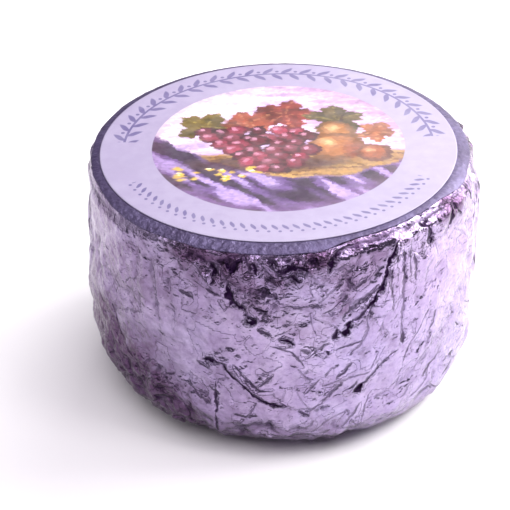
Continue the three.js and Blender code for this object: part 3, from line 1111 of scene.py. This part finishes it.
def still_life(x, y):
    """A made-up still life of grapes, pears and vine leaves on a board, painted in dabs, from
    ellipses, lobed curves and washes of noise. Colours for places x, y in millimetres."""
    x, y, own = dabs(x, y, 1.9, 1.3, 7)
    x = x + 1.6 * (flat_noise(x, y, 5, 61) - 0.5)
    y = y + 1.6 * (flat_noise(x, y, 5, 62) - 0.5)
    colour = np.zeros(x.shape + (3,))

    def lay(mask, tint):
        shade = np.clip(mask, 0, 1)[..., None]
        colour[:] = colour * (1 - shade) + np.asarray(tint) * shade

    def oval(cx, cy, rx, ry, turn=0.0, soft=0.15):
        c, s = math.cos(math.radians(turn)), math.sin(math.radians(turn))
        dx, dy = x - cx, y - cy
        away = np.hypot((dx * c + dy * s) / rx, (dy * c - dx * s) / ry)
        return smooth_step(1 - away, 0, soft)

    def leaf(cx, cy, size, turn, tint, vein):
        dx, dy = x - cx, y - cy
        a = np.arctan2(dy, dx) - math.radians(turn)
        away = np.hypot(dx, dy)
        lobes = 0.64 + 0.26 * np.abs(np.cos(2.5 * a)) + 0.05 * np.cos(15 * a)
        outline = size * lobes * (1 - 0.25 * (np.cos(a) < -0.93))
        inside = smooth_step(outline - away, 0, 1.2)
        shade = 0.45 + 1.0 * flat_noise(x, y, 4.0, 31)
        lay(inside, np.asarray(tint) * shade[..., None])
        lay(inside * smooth_step(away, 0.75 * size, size) * 0.5, np.asarray(tint) * 0.35)
        ribs = bump(np.sin(2.5 * a) * away, 0.8) * smooth_step(away, 0.5, 2)
        lay(inside * ribs * 0.45, vein)

    def fruit(cx, cy, rx, ry, turn, tint, light):
        lay(oval(cx, cy, rx, ry, turn, 0.1), srgb(*tint) * 0.42)
        middle = oval(cx - 0.08 * rx, cy + 0.1 * ry, 0.88 * rx, 0.88 * ry, turn, 0.45)
        lay(middle, srgb(*tint))
        glint = oval(cx - 0.3 * rx, cy + 0.35 * ry, 0.42 * rx, 0.4 * ry, turn, 0.9)
        lay(glint * 0.75, srgb(*light))

    streak = flat_noise(x * 0.2, y, 4.0, 3) * 0.6 + flat_noise(x * 0.3, y, 9.0, 4) * 0.4
    lay(np.ones(x.shape), srgb(206, 176, 226))
    lay(smooth_step(streak, 0.42, 0.62), srgb(238, 210, 238))
    lay(smooth_step(streak, 0.58, 0.76) * 0.85, srgb(168, 138, 196))
    lay(smooth_step(-x, 0, 40) * smooth_step(y, -8, 26) * 0.6, srgb(246, 230, 240))
    wall = smooth_step(flat_noise(x, y, 12, 41) + 0.02 * (x - 10), 0.45, 0.75)
    lay(wall * smooth_step(y, 2, 14) * 0.5, srgb(186, 140, 176))
    board = smooth_step(-y + 2.0 * flat_noise(x, y, 8, 9), 7, 10)
    lay(board, srgb(168, 126, 70))
    grain = flat_noise(x * 0.1, y, 1.5, 12)
    lay(board * smooth_step(grain, 0.42, 0.62) * 0.85, srgb(112, 72, 44))
    lay(board * smooth_step(grain, 0.62, 0.8) * 0.7, srgb(206, 164, 92))
    cloth = -y - 31 + 0.008 * (x - 14) ** 2 + 4.0 * flat_noise(x, y, 10, 13)
    lay(smooth_step(cloth, -1, 1), srgb(104, 74, 132))
    folds = flat_noise(x + 0.9 * y, y * 0.3, 4.5, 14)
    lay(smooth_step(cloth, 0, 2) * smooth_step(folds, 0.56, 0.76), srgb(172, 146, 204))
    lay(smooth_step(cloth, 0, 2) * smooth_step(0.45 - folds, 0, 0.2), srgb(50, 24, 58))
    lay(oval(-4, -17, 50, 9, 0, 0.5) * 0.85, srgb(66, 28, 36))
    leaf(-33, 17, 16, 140, srgb(104, 86, 36), srgb(190, 170, 92))
    leaf(3, 27, 17, 75, srgb(124, 46, 40), srgb(206, 130, 100))
    leaf(26, 22, 16, 20, srgb(84, 66, 34), srgb(168, 150, 82))
    leaf(-14, 20, 14, 110, srgb(140, 66, 46), srgb(214, 150, 110))
    leaf(44, 10, 11, -10, srgb(150, 84, 52), srgb(220, 160, 110))
    fruit(27, 10, 8.5, 12, 14, (164, 106, 58), (226, 184, 130))
    fruit(26, -3, 14, 13.5, 0, (168, 104, 56), (230, 186, 132))
    lay(oval(34, -6, 8, 11, 10, 0.7) * 0.6, srgb(128, 48, 38))
    lay(oval(30, 24, 1.2, 4.5, -25, 0.3), srgb(60, 36, 26))
    fruit(43, -9, 8.5, 8.5, 0, (150, 80, 48), (222, 166, 120))
    spread = np.random.default_rng(17)
    for row in range(7):
        for k in range(8 - row if row else 6):
            gx = -34 + 8.6 * k + 4.4 * row + spread.normal(0, 0.9)
            gy = 12 - 5.6 * row + spread.normal(0, 0.8)
            if math.hypot(gx, gy) > 52 or gx > 15:
                continue
            size = spread.uniform(4.6, 5.6)
            tint = np.array([112, 34, 52]) * spread.uniform(0.6, 1.35) + spread.uniform(0, 22)
            fruit(gx, gy, size, size, 0, tint, (214, 150, 178))
    for _ in range(22):
        bx, by = spread.uniform(-46, -8), spread.uniform(-31, -20)
        lay(oval(bx, by, 2.0, 1.5, 0, 0.4), srgb(214, 176, 66))
        lay(oval(bx - 0.5, by + 0.5, 0.9, 0.7, 0, 0.5), srgb(248, 236, 190))
    lay(smooth_step(np.hypot(x, y), 46, 58) * 0.3, srgb(110, 74, 96))
    jitter = 0.74 + 0.34 * own + 0.12 * (flat_noise(x, y, 1.3, 71) - 0.5)
    return np.clip(colour * jitter[..., None], 0, 1)


# The pieces


class CHEESE_OT_foil_wrap(bpy.types.Operator):
    """Wraps the wheel in its foil: one closed sheet with every fold and crease"""

    bl_idname = "cheese.foil_wrap"
    bl_label = "Foil wrap"

    def execute(self, context):
        columns = foil().columns
        turn, radius, height, out, up, along = foil_grid(columns)
        relief, strokes, shown, crush, on_base = wrap_relief(turn, height, along)
        # Painted shade in hollows: how far each point lies below the mean of its neighbours.
        painted_hollow_shade = clamp01((blurred(relief, 3) - relief - 0.12) / 0.5)
        under = 0.35 * np.abs(facets(turn, along, 15, 201)) * smooth_step(radius, 6, 30)
        r = radius + out * relief * (1 - on_base)
        z = height + up * relief * (1 - on_base) + on_base * under * smooth_step(-along, 0, 6)
        points = round_point(turn, r, z)
        points = np.vstack([points, [[0, 0, 0.2], [0, 0, wrap_height()]]])
        rows = len(radius)
        bottom, top = rows * columns, rows * columns + 1
        faces = [
            ring_faces(rows, columns),
            fan_faces(0, columns, bottom, flip=True),
            fan_faces((rows - 1) * columns, columns, top),
        ]
        made = mesh_object("creased_foil", points, faces)
        # Painted shade for the foil's colour: the crumple mask here, with the hollows and crease
        # cores stored beside it.
        shade = painted_shade_mask(turn, height, crush)
        for name, values in (
            ("painted_hollow_shade", painted_hollow_shade * shown), ("crush", crush), ("shade", shade),
            ("crease_away", strokes.away), ("painted_crease_shade", strokes.dark * shown),
        ):
            point_values(made, name, np.append(values.ravel(), [0, 0]))
        made.data.materials.append(foil_material())
        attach(made, "root")
        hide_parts("foil_wrap")
        return {"FINISHED"}


class CHEESE_OT_label_border(bpy.types.Operator):
    """Turns the label's dark border down over the shoulder, crimped where it bends twice"""

    bl_idname = "cheese.label_border"
    bl_label = "Label border"

    def execute(self, context):
        columns, rows = 1080, 26
        shoulder = wheel().shoulder / MM
        inner, flat_edge = BORDER_START, wheel_radius() - shoulder
        turn = np.broadcast_to(np.arange(columns) * FULL_TURN / columns, (rows, columns))
        ragged = 5 * (soft_noise(turn[0], 0 * turn[0], 9, 301) - 0.5)
        arc = shoulder * np.radians(border_reach(turn[0]) + ragged)
        s = np.linspace(0, 1, rows)[:, None] ** 0.8 * (flat_edge - inner + arc)
        bend = np.maximum(s - (flat_edge - inner), 0) / shoulder
        across = np.minimum(inner + s, flat_edge) + 0 * turn
        down = clamp01((s - (flat_edge - inner) + 1.5) / (arc + 1.5))
        front_left = bump(from_turn(turn, -32), 34)
        crimp = 0.36 * facets(turn, s, 4.4, 311, stretch=4.5)
        crimp += (0.1 + 0.35 * front_left) * facets(turn, s, 2.4, 321)
        lift = np.clip(0.22 + down * crimp * (0.55 + 0.9 * front_left), 0.0, 0.9)
        grids = []
        for thick in (BORDER_PAPER, 0.0):
            away = shoulder + lift + thick
            z = wrap_height() - shoulder + away * np.cos(bend)
            grids.append(round_point(turn, across + away * np.sin(bend), z))
        count = rows * columns
        j = np.arange(columns)
        k = np.mod(j + 1, columns)
        last = (rows - 1) * columns
        faces = [
            ring_faces(rows, columns, flip=True),
            ring_faces(rows, columns, count),
            strip_faces(last, last + count, columns),  # the hem
            np.stack([j, k, count + k, count + j], axis=-1),  # the inner edge, under the face
        ]
        made = mesh_object("label_turned_border", np.vstack(grids), faces)
        crush = clamp01(0.25 + 0.9 * front_left * down + 0 * turn).ravel()
        point_values(made, "crush", np.concatenate([crush, crush]))
        made.data.materials.append(border_material())
        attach(made, "root")
        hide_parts("label_border")
        return {"FINISHED"}


class CHEESE_OT_label_face(bpy.types.Operator):
    """Lays the pale printed face of the label over its border"""

    bl_idname = "cheese.label_face"
    bl_label = "Label face"

    def execute(self, context):
        columns, rows = 620, 146
        turn = np.broadcast_to(np.arange(columns) * FULL_TURN / columns, (rows, columns))
        face_radius = label().face_radius / MM
        radius = np.linspace(face_radius / rows, face_radius, rows)[:, None] + 0 * turn
        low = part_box("label_face")[0][2] / MM
        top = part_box("label_face")[1][2] / MM
        x, y = radius * np.sin(np.radians(turn)), -radius * np.cos(np.radians(turn))
        buckle = 0.16 * (flat_noise(x, y, 26, 401) - 0.5) + 0.06 * (flat_noise(x, y, 9, 402) - 0.5)
        z = top - 0.12 + buckle * smooth_step(face_radius - radius, 0, 4)
        upper = round_point(turn, radius, z)
        wall = [
            round_point(turn[0], face_radius + out, at)
            for out, at in ((0.06, top - 0.22), (0.04, low + 0.02))
        ]
        count = rows * columns
        points = np.vstack([upper, *wall, [[0, 0, top - 0.12], [0, 0, low + 0.02]]])
        pole, under = count + 2 * columns, count + 2 * columns + 1
        faces = [
            ring_faces(rows, columns, flip=True),
            strip_faces(count - columns, count, columns),
            strip_faces(count, count + columns, columns),
            fan_faces(0, columns, pole),
            fan_faces(count + columns, columns, under, flip=True),
        ]
        made = mesh_object("label_printed_face", points, faces)
        colours = still_life(points[:, 0], points[:, 1])
        point_values(made, "print", np.hstack([colours, np.ones((len(points), 1))]), "FLOAT_COLOR")
        made.data.materials.append(face_material())
        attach(made, "root")
        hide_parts("label_face")
        return {"FINISHED"}


class CHEESE_OT_studio(bpy.types.Operator):
    """Sets the pale floor, the soft lights and the camera"""

    bl_idname = "cheese.studio"
    bl_label = "Studio"

    def execute(self, context):
        scene = context.scene
        corners = 4000 * np.array([[-1, -1, 0], [1, -1, 0], [1, 1, 0], [-1, 1, 0]])
        floor = mesh_object("floor", corners, [np.array([[0, 1, 2, 3]])])
        material, shader, _ = new_material("studio_floor")
        dress(shader, Base_Color=(0.93, 0.92, 0.93), Roughness=0.8)
        floor.data.materials.append(material)
        lamps = (
            ("key_softbox", (0.60, 0.20, 0.42), 0.6, 10.2, (1.0, 0.99, 0.97)),
            ("glint_softbox", (0.50, -0.30, 0.85), 0.22, 1.8, (1.0, 0.98, 0.98)),
            ("rim_softbox", (0.33, 0.38, 0.86), 0.3, 1.4, (1.0, 0.99, 0.98)),
            ("back_softbox", (0.46, 1.00, 0.74), 0.9, 7.5, (1.0, 0.99, 0.97)),
            ("left_softbox", (-1.20, 0.40, 0.30), 0.9, 1.5, (1.0, 0.97, 1.0)),
            ("fill_softbox", (-0.80, -0.50, 1.20), 1.0, 3.6, (1.0, 0.96, 0.97)),
            ("top_softbox", (0.10, -0.40, 1.60), 1.6, 22.0, (0.98, 0.935, 0.99)),
        )
        for name, at, size, power, colour in lamps:
            light = bpy.data.lights.new(name, "AREA")
            light.size = size
            light.energy = power
            light.color = colour
            lamp = bpy.data.objects.new(name, light)
            lamp.location = at
            aim = Vector((0, 0, 0.05)) - Vector(at)
            lamp.rotation_euler = aim.to_track_quat("-Z", "Y").to_euler()
            scene.collection.objects.link(lamp)
        world = bpy.data.worlds.new("studio_air")
        world.use_nodes = True
        air = world.node_tree.nodes["Background"]
        air.inputs["Color"].default_value = (0.86, 0.8, 0.94, 1)
        air.inputs["Strength"].default_value = 0.17
        scene.world = world
        scene.view_settings.view_transform = "Standard"
        place_camera(scene)
        return {"FINISHED"}


def place_camera(scene):
    """Stands the camera in front, above the horizon, and rolls it. Its axes are right, up and
    back, turned by the roll about back."""
    studio = scene.cheese_studio
    e, roll = studio.elevation, studio.roll
    back = Vector((0, -math.cos(e), math.sin(e)))
    right, up = Vector((1, 0, 0)), Vector((0, math.sin(e), math.cos(e)))
    rolled_right = right * math.cos(roll) - up * math.sin(roll)
    rolled_up = right * math.sin(roll) + up * math.cos(roll)
    middle = Vector((0, 0, 0.05535))
    lens = bpy.data.cameras.new("camera")
    lens.lens = studio.lens
    lens.sensor_width = 36.0
    lens.shift_x, lens.shift_y = -25.5 / 510, -7.6 / 510
    lens.clip_start, lens.clip_end = 0.05, 20.0
    camera = bpy.data.objects.new("camera", lens)
    turn = Matrix((rolled_right, rolled_up, back)).transposed().to_4x4()
    camera.matrix_world = Matrix.Translation(middle + back * studio.distance) @ turn
    scene.collection.objects.link(camera)
    scene.camera = camera


class CHEESE_PT_panel(bpy.types.Panel):
    """Lists the pieces and their sizes"""

    bl_label = "Blue cheese wheel"
    bl_space_type = "VIEW_3D"
    bl_region_type = "UI"
    bl_category = "Cheese"

    def draw(self, context):
        layout, scene = self.layout, context.scene
        for title, group, operators in (
            ("Wheel", scene.cheese_wheel, ()),
            ("Foil", scene.cheese_foil, ("cheese.foil_wrap",)),
            ("Label", scene.cheese_label, ("cheese.label_border", "cheese.label_face")),
            ("Studio", scene.cheese_studio, ("cheese.studio",)),
        ):
            box = layout.box()
            box.label(text=title)
            for name in group.bl_rna.properties.keys():
                if name not in ("rna_type", "name"):
                    box.prop(group, name)
            for operator in operators:
                box.operator(operator)


SETTINGS = (
    ("cheese_wheel", WheelSizes),
    ("cheese_foil", FoilSettings),
    ("cheese_label", LabelSettings),
    ("cheese_studio", StudioSettings),
)
CLASSES = (
    WheelSizes,
    FoilSettings,
    LabelSettings,
    StudioSettings,
    CHEESE_OT_foil_wrap,
    CHEESE_OT_label_border,
    CHEESE_OT_label_face,
    CHEESE_OT_studio,
    CHEESE_PT_panel,
)


def register():
    for made in CLASSES:
        bpy.utils.register_class(made)
    for name, group in SETTINGS:
        setattr(bpy.types.Scene, name, PointerProperty(type=group))


def unregister():
    for name, _ in SETTINGS:
        delattr(bpy.types.Scene, name)
    for made in reversed(CLASSES):
        bpy.utils.unregister_class(made)


def main():
    register()
    bpy.ops.cheese.studio()
    bpy.ops.cheese.foil_wrap()
    bpy.ops.cheese.label_border()
    bpy.ops.cheese.label_face()


if __name__ == "__main__":
    main()
